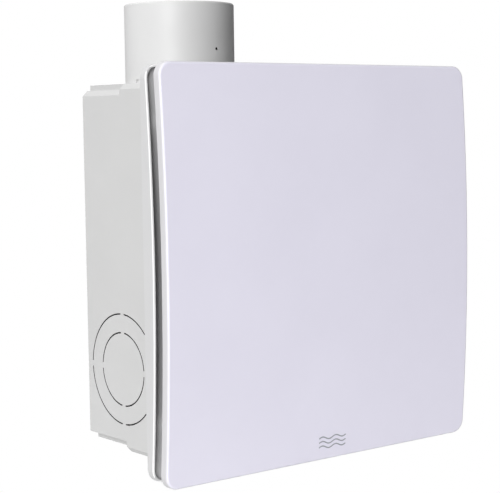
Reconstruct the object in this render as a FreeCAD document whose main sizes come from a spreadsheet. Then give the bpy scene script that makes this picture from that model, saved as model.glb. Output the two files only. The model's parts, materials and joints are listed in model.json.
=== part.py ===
# Recessed room heat recovery unit: wall casing, duct spigot with a backdraught shutter, cross-flow
# exchanger core, two axial fans, filters, controls, trim frame and curved front panel.
#
# Millimetres. +X is right as seen from the room, +Y points into the wall, +Z is up.
# The origin is the centre of the casing's back face, so the wall's surface lies at y = -casing_depth.
# Depths are distances from the back face towards the room.

import FreeCAD, Part
import os
import re
from math import cos, pi, sin

import Sketcher
from FreeCAD import Placement, Rotation, Vector

# name: (value, what it sets)
DIMENSIONS = {
    "casing_width": (260.0, "side face to side face"),
    "casing_height": (264.0, "over the top and bottom pads"),
    "casing_depth": (95.0, "wall surface to back face"),
    "casing_wall": (2.5, "moulded wall of the casing"),
    "rear_depth": (49.0, "length of the rear half, whose shoulders are lower"),
    "shoulder_drop": (4.0, "how much lower the shoulders of the rear half are"),
    "underside_rise": (8.0, "how much higher the underside of the rear half is, beside its pads"),
    "casing_bevel": (4.0, "bevel along the edges, but not on the rear half's underside"),
    "pad_inset": (6.8, "rear pads, in from the side faces"),
    "pad_rise": (2.5, "how much higher the bottom pads end than the front half"),
    "knockout_height": (-72.0, "centre of the side knock-outs"),
    "knockout_depth": (46.2, "centre of the side knock-outs"),
    "knockout_large": (40.0, "radius of the outer slit"),
    "knockout_small": (26.5, "radius of the inner slit"),
    "slit_width": (1.0, "width of the knock-out slits"),
    "slit_bridge": (4.0, "uncut bridges across the slits"),
    "fixing_x": (100.0, "wall fixing holes, half spacing across"),
    "fixing_z": (112.0, "wall fixing holes, half spacing up"),
    "fixing_radius": (2.75, "wall fixing holes"),
    "post_x": (28.0, "trim screw posts, half spacing across"),
    "post_z": (122.0, "trim screw posts, half spacing up"),
    "post_radius": (5.5, "trim screw posts"),
    "screw_radius": (1.75, "shanks of the trim screws"),
    "cable_x": (-104.0, "cable entry, across"),
    "cable_radius": (5.0, "bore of the cable grommet"),
    "spigot_x": (-76.0, "axis of the duct spigot, across"),
    "spigot_depth": (47.5, "axis of the duct spigot"),
    "spigot_radius": (39.75, "outside of the spigot, for a duct of 80 mm bore"),
    "spigot_wall": (2.0, "wall of the spigot"),
    "spigot_top": (189.0, "mouth of the spigot"),
    "flange_low": (125.2, "underside of the spigot's flange"),
    "flange_radius": (43.0, "flange of the spigot"),
    "flange_thickness": (3.0, "flange of the spigot"),
    "seat_radius": (40.75, "collar of the spigot that fills the casing's round hole"),
    "seat_top": (132.2, "top of that collar; a duct slides down to it"),
    "pilot_height": (155.8, "pilot hole for a screw that pins the duct"),
    "pilot_radius": (1.0, "pilot hole for a screw that pins the duct"),
    "shutter_height": (150.0, "hinge axis of the backdraught shutter"),
    "axle_radius": (1.2, "axle of the shutter"),
    "flap_thickness": (1.4, "shutter flaps"),
    "knuckle_radius": (3.0, "hinge knuckles of the flaps"),
    "knuckle_pitch": (11.0, "pitch of the six hinge knuckles"),
    "panel_size": (290.0, "square front panel"),
    "panel_corner": (10.0, "corner radius of the panel and the trim"),
    "panel_front": (119.0, "front of the panel at its top and bottom edge"),
    "panel_rise": (5.9, "how far the middle of the panel stands proud of its edges"),
    "panel_shell": (2.5, "thickness of the panel"),
    "panel_rim": (6.7, "depth of the panel's turned edge"),
    "panel_round": (1.8, "rounding of the panel's front edge"),
    "trim_size": (287.0, "square trim frame"),
    "trim_lip": (5.5, "depth of the trim's rim at its corners"),
    "trim_wall": (1.6, "wall of the trim's rim"),
    "trim_round": (0.8, "rounding of the rim's front edge"),
    "trim_floor": (3.0, "floor of the trim"),
    "stud_x": (128.0, "panel studs, half spacing across"),
    "stud_z": (104.0, "panel studs, half spacing up"),
    "stud_radius": (3.0, "panel studs"),
    "core_side": (104.0, "side of the square exchanger core"),
    "core_back": (14.0, "rear end of the core"),
    "core_front": (98.0, "front end of the core, level with the trim's floor"),
    "core_pitch": (4.0, "pitch of the core's plates"),
    "fan_size": (80.0, "square fan frame"),
    "fan_depth": (38.0, "length of a fan frame"),
    "fan_bore": (38.0, "radius of the fan's air path"),
    "fan_hub": (17.0, "radius of the fan's hub"),
    "fan_screw": (35.75, "fan screws, half spacing"),
    "fan_screw_hole": (2.2, "screw holes through a fan frame and what it is screwed to"),
    "screw_head": (3.6, "heads of the fan and trim screws"),
    "shaft_radius": (1.5, "impeller shafts"),
    "exhaust_fan_low": (79.5, "inlet side of the exhaust fan"),
    "supply_fan_centre": (80.0, "axis of the supply fan, across and up"),
    "supply_fan_depth": (55.2, "inlet side of the supply fan"),
    "foam_inset": (3.0, "foam duct body, in from the outside of the casing's rear half"),
    "foam_front": (94.5, "front of the foam duct body"),
    "foam_back": (3.0, "back of the foam duct body"),
    "foam_wall": (5.0, "walls of the foam duct body"),
    "chamber_low": (-113.0, "bottom of the lower chambers"),
    "chamber_top": (119.5, "top of the supply chamber"),
    "divider": (5.0, "half thickness of the foam walls between the four chambers"),
    "bay_side": (80.0, "where the left chambers step back for the control bay, across"),
    "bay_end": (32.0, "where the left chambers step back for the control bay, up and down"),
    "supply_step_side": (37.0, "where the supply chamber grows taller, across"),
    "supply_step_top": (108.0, "top of the supply chamber's lower part"),
    "filter_gap": (4.0, "between a filter and the core"),
    "filter_thickness": (11.0, "filter cassette"),
    "filter_length": (84.0, "filter cassette, along the core's face"),
    "housing_width": (35.0, "control housing, across"),
    "housing_height": (53.0, "control housing, up"),
    "housing_front": (95.5, "front rim of the control housing"),
    "housing_back": (11.0, "back of the control housing"),
    "cover_front": (98.5, "front of the control cover"),
    "board_depth": (84.0, "front of the circuit board"),
    "button_radius": (4.8, "push buttons"),
    "button_height": (13.0, "push buttons, above and below the middle of the housing"),
    "fit_gap": (0.5, "clearance around drop-in pieces"),
}

# half width and top of the foam duct body, which follows the casing's rear half
FOAM_SIDE = "casing_width / 2 - foam_inset"
FOAM_TOP = "casing_height / 2 - shoulder_drop - foam_inset"

doc = FreeCAD.newDocument("HeatRecoveryUnit")
sub_parts = {}


def write_sheet():
    """Puts the driving dimensions in a spreadsheet, one aliased cell each."""
    sheet = doc.addObject("Spreadsheet::Sheet", "Dims")
    for row, (alias, (number, note)) in enumerate(DIMENSIONS.items(), start=1):
        sheet.set(f"A{row}", alias)
        sheet.set(f"B{row}", str(number))
        sheet.set(f"C{row}", note)
        sheet.setAlias(f"B{row}", alias)
    doc.recompute()


def value(name):
    """A driving dimension as a plain number, for what can't hold an expression."""
    return float(getattr(doc.Dims, name))


def bind(feature, prop, text):
    """Binds a property to a formula such as 'panel_size / 2', whose words are cells of the sheet."""
    cells = re.sub(r"[a-z_]+", lambda m: f"Dims.{m[0]}" if m[0] in DIMENSIONS else m[0], str(text))
    feature.setExpression(prop, cells)


def keep(name, feature):
    """Names a finished sub-part; its label becomes its file name."""
    feature.Label = name
    sub_parts[name] = feature


# ---------------------------------------------------------------- primitives and booleans


def place(feature, x="0", y="0", z="0", axis=Vector(0, 0, 1), angle=0):
    feature.Placement = Placement(Vector(), Rotation(axis, angle))
    for name, text in zip("xyz", (x, y, z)):
        bind(feature, f"Placement.Base.{name}", text)
    return feature


def block(name, x, y, z):
    """A box between (low, high) pairs of formulas."""
    box = doc.addObject("Part::Box", name)
    for prop, (low, high) in zip(("Length", "Width", "Height"), (x, y, z)):
        bind(box, prop, f"({high}) - ({low})")
    return place(box, x[0], y[0], z[0])


def slab(name, x, z, back, front):
    """A box between (low, high) pairs across and up, and two depths from the back face."""
    return block(name, x, (f"-({front})", f"-({back})"), z)


TURNS = {"X": (Vector(0, 1, 0), 90), "Y": (Vector(1, 0, 0), -90), "Z": (Vector(0, 0, 1), 0)}


def rod(name, radius, along, low, high, centre):
    """A cylinder along X, Y or Z from low to high; centre holds the other two coordinates, in order."""
    cylinder = doc.addObject("Part::Cylinder", name)
    bind(cylinder, "Radius", radius)
    bind(cylinder, "Height", f"({high}) - ({low})")
    spot = list(centre)
    spot.insert("XYZ".index(along), low)
    return place(cylinder, *spot, *TURNS[along])


def bore(name, radius, centre, back, front):
    """A cylinder along Y between two depths from the back face, at (x, z)."""
    return rod(name, radius, "Y", f"-({front})", f"-({back})", centre)


def fuse(name, *shapes):
    joined = doc.addObject("Part::MultiFuse", name)
    joined.Shapes = list(shapes)
    return joined


def group(name, *shapes):
    """Separate solids kept as one sub-part, or one shape held so that it can be turned and moved."""
    compound = doc.addObject("Part::Compound", name)
    compound.Links = list(shapes)
    return compound


def cut(name, base, *tools):
    """Cuts the tools away one after the other."""
    for tool in tools:
        result = doc.addObject("Part::Cut", name)
        result.Base, result.Tool = base, tool
        base = result
    return base


def common(name, first, second):
    result = doc.addObject("Part::Common", name)
    result.Base, result.Tool = first, second
    return result


def diagonal(name, shape):
    """Turns a shape by 45 degrees about Y, so that its +X side faces up to the right."""
    return place(group(name, shape), axis=Vector(0, -1, 0), angle=45)


def mirrored(name, shape):
    """The same shape on the other side of the YZ plane."""
    mirror = doc.addObject("Part::Mirroring", name)
    mirror.Source = shape
    mirror.Normal = Vector(1, 0, 0)
    return mirror


# ---------------------------------------------------------------- bodies and sketches


def new_sketch(body, role, offset="0"):
    """A sketch on one of the body's origin planes, moved along its normal; on XZ_Plane that is a depth."""
    sketch = body.newObject("Sketcher::SketchObject", body.Name + "_sketch")
    plane = next(feature for feature in body.Origin.OriginFeatures if feature.Role == role)
    sketch.AttachmentSupport = [(plane, "")]
    sketch.MapMode = "FlatFace"
    bind(sketch, "AttachmentOffset.Base.z", offset)
    return sketch


def pin_point(sketch, geometry, vertex, x, y):
    """Ties a sketch point to the sketch's origin with two bound distances."""
    drawn = sketch.getPoint(geometry, vertex)
    for kind, start, text in (("DistanceX", drawn.x, x), ("DistanceY", drawn.y, y)):
        index = sketch.addConstraint(Sketcher.Constraint(kind, -1, 1, geometry, vertex, start))
        bind(sketch, f"Constraints[{index}]", text)


def draw_polygon(sketch, points):
    """A closed outline through points of two formulas each; the lines start on a small circle."""
    first = sketch.GeometryCount
    count = len(points)
    turns = [2 * pi * i / count for i in range(count)]
    spots = [Vector(20 * cos(turn), 20 * sin(turn), 0) for turn in turns]
    for i in range(count):
        sketch.addGeometry(Part.LineSegment(spots[i], spots[(i + 1) % count]))
    for i in range(count):
        sketch.addConstraint(Sketcher.Constraint("Coincident", first + i, 2, first + (i + 1) % count, 1))
    for i, (x, y) in enumerate(points):
        pin_point(sketch, first + i, 1, x, y)


def draw_circle(sketch, radius, x="0", y="0"):
    index = sketch.addGeometry(Part.Circle(Vector(1, 2, 0), Vector(0, 0, 1), 5))
    pin_point(sketch, index, 3, x, y)
    bound = sketch.addConstraint(Sketcher.Constraint("Radius", index, 1.0))
    bind(sketch, f"Constraints[{bound}]", radius)


def add_feature(body, kind, sketch, length):
    """A Pad or a Pocket of a sketch, of bound length."""
    feature = body.newObject("PartDesign::" + kind, f"{body.Name}_{kind.lower()}")
    feature.Profile = sketch
    bind(feature, "Length", length)
    return feature


def fillet(body, radius, wanted):
    """Rounds the edges of the body's tip that wanted(edge) picks."""
    doc.recompute()
    tip = body.Tip
    names = [f"Edge{i}" for i, edge in enumerate(tip.Shape.Edges, start=1) if wanted(edge)]
    feature = body.newObject("PartDesign::Fillet", body.Name + "_fillet")
    feature.Base = (tip, names)
    bind(feature, "Radius", radius)
    return feature


def spun(name, points):
    """A body turned about its own Z axis from an outline of (radius, height) points."""
    body = doc.addObject("PartDesign::Body", name)
    sketch = new_sketch(body, "XZ_Plane")
    draw_polygon(sketch, points)
    turn = body.newObject("PartDesign::Revolution", name + "_turn")
    turn.Profile = sketch
    turn.ReferenceAxis = (sketch, ["V_Axis"])
    turn.Angle = 360
    return body


# ---------------------------------------------------------------- casing


def bevelled_corner(drop, inset):
    """The bevelled corner of the casing's section, as points (across, up) from the axis."""
    half, top, bevel = "casing_width / 2", f"casing_height / 2 - {drop}", "casing_bevel"
    slant = f"{inset} * 0.414"
    return [
        (f"{half} - {inset}", f"{top} - {bevel} - {slant}"),
        (f"{half} - {bevel} - {slant}", f"{top} - {inset}"),
    ]


def plain_corner(drop, inset):
    return [(f"casing_width / 2 - {inset}", f"casing_height / 2 - {drop} - {inset}")]


def all_round(upper, lower):
    """Repeats the points of two right-hand corners on the left; the lower ones are given as if above."""
    left_top = [(f"-({x})", z) for x, z in reversed(upper)]
    left_low = [(f"-({x})", f"-({z})") for x, z in lower]
    right_low = [(x, f"-({z})") for x, z in reversed(lower)]
    return upper + left_top + left_low + right_low


def padded_outline(name, points, back, front):
    """A body with the outline of (across, up) points, between two depths."""
    body = doc.addObject("PartDesign::Body", name)
    sketch = new_sketch(body, "XZ_Plane", back)
    draw_polygon(sketch, points)
    add_feature(body, "Pad", sketch, f"({front}) - ({back})")
    return body


def front_block(name, inset, back, front):
    """The casing's front half, or the room inside it, moved in by inset."""
    corner = bevelled_corner("0", inset)
    return padded_outline(name, all_round(corner, corner), back, front)


def rear_block(name, inset, back, front):
    """The casing's rear half without its pads, or a body inside it, moved in by inset."""
    points = all_round(bevelled_corner("shoulder_drop", inset), plain_corner("underside_rise", inset))
    return padded_outline(name, points, back, front)


def knockout_slits(side, name):
    """Two concentric slits with bridges; the large one stays uncut on the quarter nearest the room."""
    low, high = ("casing_width / 2 - 4", "casing_width / 2 + 1") if side > 0 else (
        "-casing_width / 2 - 1", "-casing_width / 2 + 4")
    centre = ("-knockout_depth", "knockout_height")
    slits = []
    for size in ("large", "small"):
        outer = rod(f"{name}_{size}_outer", f"knockout_{size} + slit_width / 2", "X", low, high, centre)
        inner = rod(f"{name}_{size}_inner", f"knockout_{size} - slit_width / 2", "X", low, high, centre)
        slits.append(cut(f"{name}_{size}", outer, inner))
    upright = block(f"{name}_upright", (low, high),
                    ("-knockout_depth - slit_bridge / 2", "-knockout_depth + slit_bridge / 2"),
                    ("knockout_height - 50", "knockout_height + 50"))
    level = block(f"{name}_level", (low, high), ("-knockout_depth - 50", "-knockout_depth + 50"),
                  ("knockout_height - slit_bridge / 2", "knockout_height + slit_bridge / 2"))
    quarter = doc.addObject("Part::Box", name + "_quarter")
    bind(quarter, "Length", f"({high}) - ({low})")
    bind(quarter, "Width", "knockout_large * 1.5")
    bind(quarter, "Height", "knockout_large * 1.5")
    place(quarter, low, *centre, axis=Vector(1, 0, 0), angle=135)
    return [cut(f"{name}_large_slit", slits[0], upright, level, quarter),
            cut(f"{name}_small_slit", slits[1], upright, level)]


def build_casing():
    half, wall = "casing_width / 2", "casing_wall"
    top, pad_low = "casing_height / 2", "-casing_height / 2 + pad_rise"
    front_half = front_block("casing_front_half", "0", "rear_depth", "casing_depth")
    rear_half = rear_block("casing_rear_half", "0", "0", "rear_depth")
    pads = slab("casing_pads", (f"-({half} - pad_inset)", f"{half} - pad_inset"), (pad_low, top),
                "0", "rear_depth")
    front_room = front_block("casing_front_room", wall, f"rear_depth + {wall}", "casing_depth + 1")
    rear_room = rear_block("casing_rear_room", wall, wall, "casing_depth + 1")
    pad_room = slab("casing_pad_room", (f"-({half} - pad_inset - {wall})", f"{half} - pad_inset - {wall}"),
                    (f"{pad_low} + {wall}", f"{top} - {wall}"), wall, "casing_depth + 1")
    shell = cut("casing_shell", fuse("casing_outside", front_half, rear_half, pads),
                front_room, rear_room, pad_room)

    posts, holes = [], []
    for x in ("-post_x", "post_x"):
        for z in ("-post_z", "post_z"):
            posts.append(bore("casing_post", "post_radius", (x, z), "casing_wall / 2", "casing_depth"))
            end = "casing_height / 2 - casing_wall / 2"
            low, high, back = (f"-({end})", z, "rear_depth") if z[0] == "-" else (z, end, "casing_wall / 2")
            posts.append(slab("casing_rib", (f"{x} - 1.25", f"{x} + 1.25"), (low, high),
                              back, "casing_depth - 2"))
            holes.append(bore("casing_pilot", "screw_radius", (x, z), "casing_depth - 24", "casing_depth + 1"))
    for x in ("-fixing_x", "fixing_x"):
        for z in ("-fixing_z", "fixing_z"):
            holes.append(bore("casing_fixing", "fixing_radius", (x, z), "-1", "casing_wall + 1"))
    holes.append(bore("casing_cable_hole", "cable_radius + 2.5", ("cable_x", "0"), "-1", "casing_wall + 1"))
    holes.append(rod("casing_spigot_hole", "seat_radius + 0.15", "Z", "casing_height / 2 - 6",
                     "casing_height / 2 + 1", ("spigot_x", "-spigot_depth")))
    slits = knockout_slits(-1, "left_knockout") + knockout_slits(1, "right_knockout")
    keep("wall_casing", cut("casing", fuse("casing_with_posts", shell, *posts), *holes, *slits))

    bush = bore("bush", "cable_radius + 2.4", ("cable_x", "0"), "0.4", "housing_back + 2")
    flange = bore("bush_flange", "cable_radius + 4", ("cable_x", "0"), "casing_wall", "casing_wall + 2.5")
    opening = bore("bush_bore", "cable_radius", ("cable_x", "0"), "-1", "housing_back + 3")
    keep("cable_grommet", cut("grommet", fuse("grommet_solid", bush, flange), opening))


# ---------------------------------------------------------------- spigot and backdraught shutter


def build_spigot():
    outer, inner = "spigot_radius", "spigot_radius - spigot_wall"
    flange_top = "flange_low + flange_thickness"
    tube = spun("spigot_tube", [
        (inner, "flange_low"), ("flange_radius", "flange_low"), ("flange_radius", flange_top),
        ("seat_radius", flange_top), ("seat_radius", "seat_top"), (outer, "seat_top"),
        (outer, "spigot_top - 1"), (f"{outer} - 0.6", "spigot_top"),
        (inner, "spigot_top"), (inner, "shutter_height - 1.2"),
        (f"{inner} - 2.2", "shutter_height - 1.2"), (f"{inner} - 2.2", "shutter_height - 3"),
        (inner, "shutter_height - 6"),
    ])
    place(tube, "spigot_x", "-spigot_depth")
    axle_seats = rod("spigot_axle_seats", "axle_radius", "Y", "-spigot_depth - spigot_radius + 0.8",
                     "-spigot_depth + spigot_radius - 0.8", ("spigot_x", "shutter_height"))
    pilot = rod("spigot_pilot", "pilot_radius", "Y", "-spigot_depth - 50",
                "-spigot_depth - spigot_radius + 1.5", ("spigot_x + 3.6", "pilot_height"))
    notch = block("spigot_notch", ("spigot_x - 50", "spigot_x - spigot_radius + 1.4"),
                  ("-spigot_depth - 5.1", "-spigot_depth - 1.7"), ("seat_top + 0.4", "seat_top + 2.8"))
    keep("duct_spigot", cut("spigot", tube, axle_seats, pilot, notch))

    gasket = rod("gasket_outer", "flange_radius", "Z", flange_top, "casing_height / 2 - casing_wall",
                 ("spigot_x", "-spigot_depth"))
    gasket_bore = rod("gasket_inner", "seat_radius + 0.2", "Z", "flange_low", "casing_height / 2",
                      ("spigot_x", "-spigot_depth"))
    keep("spigot_gasket", cut("gasket", gasket, gasket_bore))

    keep("shutter_axle", rod("axle", "axle_radius", "Y", "-spigot_depth - spigot_radius + 0.9",
                             "-spigot_depth + spigot_radius - 0.9", ("spigot_x", "shutter_height")))
    for side, name in ((-1, "shutter_flap_left"), (1, "shutter_flap_right")):
        build_flap(side, name)


def build_flap(side, name):
    """Half a disc hung on the axle by every other knuckle of the row."""
    middle = ("spigot_x", "-spigot_depth")
    low, high = "shutter_height - flap_thickness / 2", "shutter_height + flap_thickness / 2"
    disc = rod(name + "_disc", "spigot_radius - spigot_wall - 0.5", "Z", low, high, middle)
    near, far = ("-50", "-knuckle_radius - 0.6") if side < 0 else ("knuckle_radius + 0.6", "50")
    half_plane = block(name + "_half", (f"spigot_x + {near}", f"spigot_x + {far}"),
                       ("-spigot_depth - 50", "-spigot_depth + 50"), (low, high))
    plate = common(name + "_plate", disc, half_plane)
    knuckles, webs = [], []
    for turn in range(-3, 3):
        if turn % 2 == (0 if side < 0 else 1):
            start = f"-spigot_depth + knuckle_pitch * {turn} + 0.2"
            end = f"-spigot_depth + knuckle_pitch * {turn + 1} - 0.2"
            knuckles.append(rod(name + "_knuckle", "knuckle_radius", "Y", start, end,
                                ("spigot_x", "shutter_height")))
            reach = ("spigot_x - knuckle_radius - 1", "spigot_x") if side < 0 else (
                "spigot_x", "spigot_x + knuckle_radius + 1")
            webs.append(block(name + "_web", reach, (start, end), (low, high)))
    clear = rod(name + "_clear", "axle_radius + 0.05", "Y", "-spigot_depth - 50", "-spigot_depth + 50",
                ("spigot_x", "shutter_height"))
    keep(name, cut(name, fuse(name + "_solid", plate, *knuckles, *webs), clear))


# ---------------------------------------------------------------- foam duct body


def build_foam_body():
    """A foam block from which the core bay, four air chambers, two filter slots and the fan bed are cut."""
    foam = rear_block("foam_block", "foam_inset", "foam_back", "foam_front")
    rear, front = "foam_back + foam_wall", "foam_front + 1"
    side = f"{FOAM_SIDE} - foam_wall"
    chambers = [
        slab("exhaust_chamber", (f"-({side})", "-divider"), ("bay_end", "exhaust_fan_low - foam_wall"),
             rear, front),
        slab("exhaust_chamber_low", ("-bay_side", "-divider"), ("divider", "bay_end + 1"), rear, front),
        slab("supply_chamber", ("supply_step_side", side), ("divider", "chamber_top"), rear, front),
        slab("supply_chamber_inner", ("divider", "supply_step_side + 1"), ("divider", "supply_step_top"),
             rear, front),
        slab("fresh_chamber", (f"-({side})", "-divider"), ("chamber_low", "-bay_end"), rear, front),
        slab("fresh_chamber_high", ("-bay_side", "-divider"), ("-bay_end - 1", "-divider"), rear, front),
        slab("extract_chamber", ("divider", side), ("chamber_low", "-divider"), rear, front),
    ]
    seats = build_filter_seats()
    hollowed = fuse("foam_with_seats", cut("foam_hollowed", foam, *chambers), *seats)

    reach = "core_side / 2 + fit_gap"
    bay = diagonal("core_bay", slab("core_bay_square", (f"-({reach})", reach), (f"-({reach})", reach),
                                    "core_back - fit_gap", front))
    slots = filter_slots("foam", "foam_back + foam_wall + 2", front)
    half = "fan_size / 2 + fit_gap"
    beds = [
        slab("exhaust_fan_bed", (f"spigot_x - ({half})", f"spigot_x + {half}"),
             ("exhaust_fan_low - 0.2", "exhaust_fan_low + fan_depth + 1.7"), f"spigot_depth - ({half})", front),
        slab("supply_fan_bed", (f"supply_fan_centre - ({half})", f"supply_fan_centre + {half}"),
             (f"supply_fan_centre - ({half})", f"supply_fan_centre + {half}"), "supply_fan_depth - 0.2", front),
        rod("exhaust_bore", "fan_bore + 0.2", "Z", "60", f"{FOAM_TOP} + 1", ("spigot_x", "-spigot_depth")),
        slab("control_bay", ("cable_x - housing_width / 2 - 1.5", "cable_x + housing_width / 2 + 1"),
             ("-housing_height / 2 - 1", "housing_height / 2 + 1"), "housing_back - 0.5", front),
        bore("grommet_clear", "cable_radius + 5", ("cable_x", "0"), "0", "housing_back"),
    ]
    holes = []
    for low, high in ((f"-({FOAM_SIDE}) - 1", f"-({side}) + 1"), (f"{side} - 1", f"{FOAM_SIDE} + 1")):
        holes.append(rod("knockout_clear", "knockout_large + 0.6", "X", low, high,
                         ("-knockout_depth", "knockout_height")))
    for x in (-1, 1):
        for z in (-1, 1):
            holes.append(bore("post_clear", "post_radius + 1", (f"{x} * post_x", f"{z} * post_z"), "0", front))
            holes.append(bore("screw_head_clear", "7.5", (f"{x} * fixing_x", f"{z} * fixing_z"), "0",
                              "foam_back + 3.5"))
    foam = cut("foam_with_bay", hollowed, bay)
    foam = cut("foam_with_slots", foam, *slots)
    foam = cut("foam_with_beds", foam, *beds)
    keep("foam_duct_body", cut("foam_body", foam, *holes))


def build_filter_seats():
    """Foam blocks that hold both ends of each filter cassette."""
    near = "core_side / 2 + fit_gap"
    far = "core_side / 2 + filter_gap + filter_thickness + 3"
    seats = []
    for low, high in (("38", "60"), ("-60", "-38")):
        seat = slab("filter_seat", (f"-({far})", f"-({near})"), (low, high), "foam_back + 2", "foam_front")
        seats.append(diagonal("filter_seat_fresh", seat))
    fresh = fuse("fresh_seat_pair", *seats)
    return [fresh, mirrored("extract_seats", fresh)]


def filter_slots(name, back, front):
    """Clear spaces for the two filter cassettes, beside the core's lower faces."""
    near = "core_side / 2 + filter_gap - 0.4"
    far = "core_side / 2 + filter_gap + filter_thickness + 0.4"
    half = "filter_length / 2 + 0.4"
    slot = slab(name + "_slot", (f"-({far})", f"-({near})"), (f"-({half})", half), back, front)
    fresh = diagonal(name + "_fresh_slot", slot)
    return [fresh, mirrored(name + "_extract_slot", fresh)]


# ---------------------------------------------------------------- fans


def fan_pieces(name):
    """Frame, motor, impeller and shaft of an axial fan about Z, inlet at z = 0."""
    half = "fan_size / 2"
    frame = block(name + "_square", (f"-{half}", half), (f"-{half}", half), ("0", "fan_depth"))
    air = rod(name + "_air", "fan_bore", "Z", "-1", "fan_depth + 1", ("0", "0"))
    screw_holes = [rod(name + "_screw_hole", "fan_screw_hole", "Z", "-1", "fan_depth + 1", (x, y))
                   for x in ("-fan_screw", "fan_screw") for y in ("-fan_screw", "fan_screw")]
    waist_low, waist_high = "5", "fan_depth - 5"
    notches = []
    for x in (-1, 1):
        for y in (-1, 1):
            corner = block(name + "_notch", ("-7.5", "7.5"), ("-7.5", "7.5"), (waist_low, waist_high))
            notches.append(place(group(name + "_notch_at", corner), f"{x} * (fan_size / 2)",
                                 f"{y} * (fan_size / 2)"))
    ring = cut(name + "_ring", frame, air, *screw_holes, *notches)
    base = rod(name + "_base", "fan_hub", "Z", "fan_depth - 7", "fan_depth - 4", ("0", "0"))
    arms = []
    for turn in range(4):
        arm = block(name + "_arm", ("fan_hub - 1", "fan_bore + 0.5"), ("-1.5", "1.5"),
                    ("fan_depth - 7", "fan_depth - 1"))
        arms.append(place(group(name + "_arm_at", arm), angle=20 + 90 * turn))
    socket = rod(name + "_socket", "3.4", "Z", "10", "fan_depth - 4", ("0", "0"))
    shaft_clear = rod(name + "_shaft_clear", "shaft_radius + 0.05", "Z", "9", "fan_depth - 5.5", ("0", "0"))
    stator = cut(name + "_stator", fuse(name + "_stator_solid", base, socket, *arms), shaft_clear)
    pieces = {"fan_frame": fuse(name + "_frame", ring, stator)}

    coil = rod(name + "_coil", "fan_hub - 5", "Z", "11", "fan_depth - 9.6", ("0", "0"))
    board = rod(name + "_board", "fan_hub - 3.2", "Z", "fan_depth - 9.6", "fan_depth - 7", ("0", "0"))
    coil_bore = rod(name + "_coil_bore", "3.5", "Z", "10", "fan_depth - 6", ("0", "0"))
    poles = []
    for turn in range(3):
        pole = block(name + "_pole_gap", ("-20", "20"), ("-0.8", "0.8"), ("13", "fan_depth - 11"))
        poles.append(place(group(name + "_pole_gap_at", pole), angle=60 * turn))
    grooved = fuse(name + "_grooved", cut(name + "_poles", coil, *poles),
                   rod(name + "_coil_core", "6.5", "Z", "11", "fan_depth - 9.6", ("0", "0")))
    pieces["fan_motor"] = cut(name + "_motor", fuse(name + "_motor_solid", grooved, board), coil_bore)
    pieces["impeller"] = build_impeller(name + "_impeller")
    pieces["impeller_shaft"] = rod(name + "_shaft", "shaft_radius", "Z", "5.5", "fan_depth - 6", ("0", "0"))
    return pieces


def build_impeller(name):
    """Hub cup open towards the motor, with seven slanted blades round it."""
    body = doc.addObject("PartDesign::Body", name)
    hub = new_sketch(body, "XY_Plane", "4")
    draw_circle(hub, "fan_hub")
    add_feature(body, "Pad", hub, "fan_depth - 13")
    blade = new_sketch(body, "YZ_Plane", "fan_hub - 1.5")
    draw_polygon(blade, [("-9", "6"), ("-7", "5"), ("9", "fan_depth - 11"), ("7", "fan_depth - 10")])
    first = add_feature(body, "Pad", blade, "fan_bore - fan_hub - 1")
    doc.recompute()
    blades = body.newObject("PartDesign::PolarPattern", name + "_blades")
    blades.Originals = [first]
    axis = next(feature for feature in body.Origin.OriginFeatures if feature.Role == "Z_Axis")
    blades.Axis = (axis, [""])
    blades.Angle = 360
    blades.Occurrences = 7
    body.Tip = blades
    cup = rod(name + "_cup", "fan_hub - 2.5", "Z", "7", "fan_depth", ("0", "0"))
    shaft = rod(name + "_shaft_hole", "shaft_radius", "Z", "5.5", "8", ("0", "0"))
    return cut(name + "_turned", body, cup, shaft)


def build_fans():
    for kind, piece in fan_pieces("exhaust").items():
        held = place(group(f"exhaust_{kind}_held", piece), "spigot_x", "-spigot_depth", "exhaust_fan_low")
        keep(f"exhaust_{kind}", held)
    for kind, piece in fan_pieces("supply").items():
        held = place(group(f"supply_{kind}_held", piece), "supply_fan_centre", "-supply_fan_depth",
                     "supply_fan_centre", Vector(1, 0, 0), 90)
        keep(f"supply_{kind}", held)

    half = "fan_size / 2"
    top = "exhaust_fan_low + fan_depth"
    pad = block("exhaust_pad", (f"spigot_x - {half}", f"spigot_x + {half}"),
                (f"-spigot_depth - {half}", f"-spigot_depth + {half}"), (top, f"{top} + 1.5"))
    keep("exhaust_fan_gasket", cut("exhaust_gasket", pad, rod(
        "exhaust_pad_bore", "fan_bore", "Z", "0", "200", ("spigot_x", "-spigot_depth"))))
    keep("exhaust_fan_plug", slab("exhaust_plug", (f"spigot_x - {half}", f"spigot_x + {half}"),
                                  ("exhaust_fan_low", "exhaust_fan_low + fan_depth"),
                                  f"spigot_depth + {half} + 0.3", "foam_front"))

    middle = "supply_fan_centre"
    ends = (f"{middle} - {half}", f"{middle} + {half}")
    pad = slab("supply_pad", ends, ends, "supply_fan_depth + fan_depth", "casing_depth")
    holes = [bore("supply_pad_bore", "fan_bore", (middle, middle), "50", "100")]
    screws = []
    for x in (f"{middle} - fan_screw", f"{middle} + fan_screw"):
        for z in (f"{middle} - fan_screw", f"{middle} + fan_screw"):
            holes.append(bore("supply_pad_hole", "fan_screw_hole", (x, z), "50", "100"))
            screws.append(screw("supply_screw", x, z, "fan_screw_hole - 0.1", "supply_fan_depth + 4"))
    keep("supply_fan_gasket", cut("supply_gasket", pad, *holes))
    keep("supply_fan_screws", group("supply_screws", *screws))


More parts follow.
